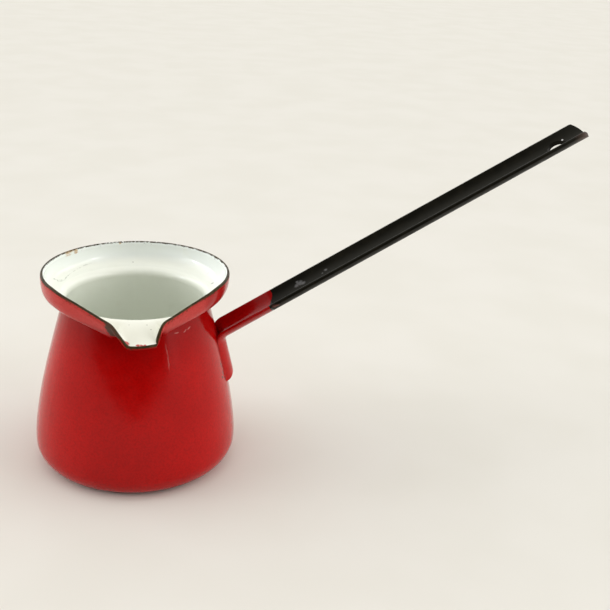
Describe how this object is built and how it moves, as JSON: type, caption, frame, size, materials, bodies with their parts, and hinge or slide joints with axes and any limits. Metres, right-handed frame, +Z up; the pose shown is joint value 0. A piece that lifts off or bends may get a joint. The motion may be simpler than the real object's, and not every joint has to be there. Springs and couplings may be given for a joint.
{
  "type": "long-handled coffee pot",
  "caption": "Enamelled steel stove-top coffee pot with a wide belly, a flared collar with a pouring spout and a long gutter-shaped handle.",
  "frame": {"origin": "centre of the underside, on the surface the pot stands on", "axes": "+Z up along the pot's axis, +X along the handle, -Y towards the spout"},
  "size_m": [0.2159, 0.0856, 0.1397],
  "materials": {
    "steel": "low-carbon sheet steel under the enamel",
    "red_enamel": "glossy red vitreous enamel",
    "white_enamel": "glossy white vitreous enamel, stained",
    "edge_enamel": "dark brown enamel edge, worn",
    "black_enamel": "satin black enamel, scuffed",
    "ground_enamel": "dark ground coat on the underside"
  },
  "bodies": {
    "root": {"pot_steel": "steel", "handle_steel": "steel", "outer_enamel": "red_enamel", "inner_enamel": "white_enamel", "rim_enamel": "edge_enamel", "base_enamel": "ground_enamel", "handle_red_enamel": "red_enamel", "handle_black_enamel": "black_enamel"}
  },
  "joints": []
}
